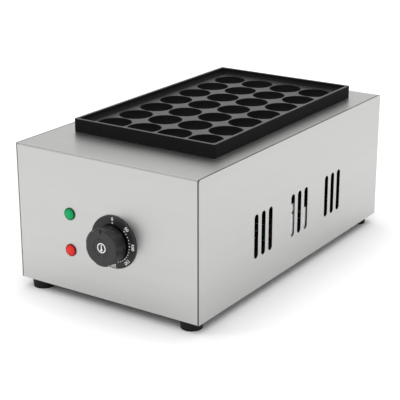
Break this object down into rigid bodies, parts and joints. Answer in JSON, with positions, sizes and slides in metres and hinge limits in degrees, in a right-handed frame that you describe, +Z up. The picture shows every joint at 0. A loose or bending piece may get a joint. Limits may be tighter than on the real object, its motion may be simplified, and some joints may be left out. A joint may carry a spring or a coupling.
{
  "type": "takoyaki maker",
  "caption": "Electric countertop takoyaki maker: brushed sheet box on feet, lift-off cast pan of round cups, thermostat knob and two lamps.",
  "frame": {"origin": "middle of the bounding box's footprint, on the surface that the feet stand on", "axes": "+X to the right seen from the front, +Y from the front with the knob to the rear with the gland, +Z up"},
  "size_m": [0.23, 0.44, 0.1765],
  "materials": {
    "brushed_sheet": "brushed, satin",
    "galvanised_sheet": "galvanised",
    "black_screw": "blackened",
    "foot_rubber": "matt",
    "bright_fastener": "zinc plated",
    "seasoned_iron": "black, seasoned, satin",
    "aluminised_sheet": "aluminised",
    "heater_sheath": "oxidised",
    "brass_fitting": "plain",
    "white_ceramic": "unglazed",
    "copper_tube": "drawn",
    "brown_bakelite": "moulded",
    "black_dial": "satin",
    "black_knob": "satin",
    "white_print": "inlaid",
    "green_lens": "translucent",
    "lamp_housing": "moulded",
    "red_lens": "translucent",
    "gland_nylon": "moulded",
    "gland_rubber": "matt",
    "natural_nylon": "moulded",
    "brown_sleeve": "silicone",
    "black_sleeve": "silicone",
    "blue_sleeve": "silicone",
    "green_sleeve": "silicone",
    "white_sleeve": "silicone"
  },
  "bodies": {
    "housing": {"wrap_cover": "brushed_sheet", "side_panel_right": "brushed_sheet", "side_panel_left": "brushed_sheet", "base_plate": "galvanised_sheet", "base_screws": "black_screw", "bracket_screws": "black_screw", "foot_front_left": "foot_rubber", "foot_front_right": "foot_rubber", "foot_rear_left": "foot_rubber", "foot_rear_right": "foot_rubber", "foot_washers": "bright_fastener", "foot_screws": "bright_fastener", "foot_nuts": "bright_fastener", "reflector_tray": "aluminised_sheet", "support_front": "aluminised_sheet", "support_rear": "aluminised_sheet", "heater_left": "heater_sheath", "heater_right": "heater_sheath", "heater_fittings": "brass_fitting", "heater_nuts": "bright_fastener", "heater_insulators": "white_ceramic", "heater_studs": "bright_fastener", "capillary_sensor": "copper_tube", "thermostat_bracket": "galvanised_sheet", "thermostat_body": "brown_bakelite", "thermostat_screws": "bright_fastener", "dial_ring": "black_dial", "green_lamp_lens": "green_lens", "green_lamp_body": "lamp_housing", "red_lamp_lens": "red_lens", "red_lamp_body": "lamp_housing", "lamp_nuts": "bright_fastener", "terminal_bracket": "galvanised_sheet", "terminal_block": "white_ceramic", "terminal_screws": "bright_fastener", "gland_body": "gland_nylon", "gland_locknut": "gland_nylon", "gland_seal": "gland_rubber", "gland_cap": "gland_nylon", "stud_nuts": "bright_fastener", "clamp_screws": "bright_fastener", "push_on_terminals": "natural_nylon", "wire_lugs": "bright_fastener", "live_wire": "brown_sleeve", "switched_wires": "black_sleeve", "neutral_wires": "blue_sleeve", "earth_wire": "green_sleeve", "lamp_wires": "white_sleeve", "earth_stud": "brass_fitting", "earth_washers": "bright_fastener", "earth_nuts": "brass_fitting"},
    "pan": {"baking_pan": "seasoned_iron"},
    "knob": {"knob": "black_knob", "knob_symbol": "white_print", "thermostat_spindle": "bright_fastener"}
  },
  "joints": [
    {"name": "pan_lift", "type": "slide", "parent": "housing", "child": "pan", "axis": [0, 0, 1], "range_m": [0, 0.1]},
    {"name": "knob_turn", "type": "hinge", "parent": "housing", "child": "knob", "pos_m": [0.012, -0.21, 0.078], "axis": [0, 1, 0], "range_deg": [0, 270]}
  ]
}
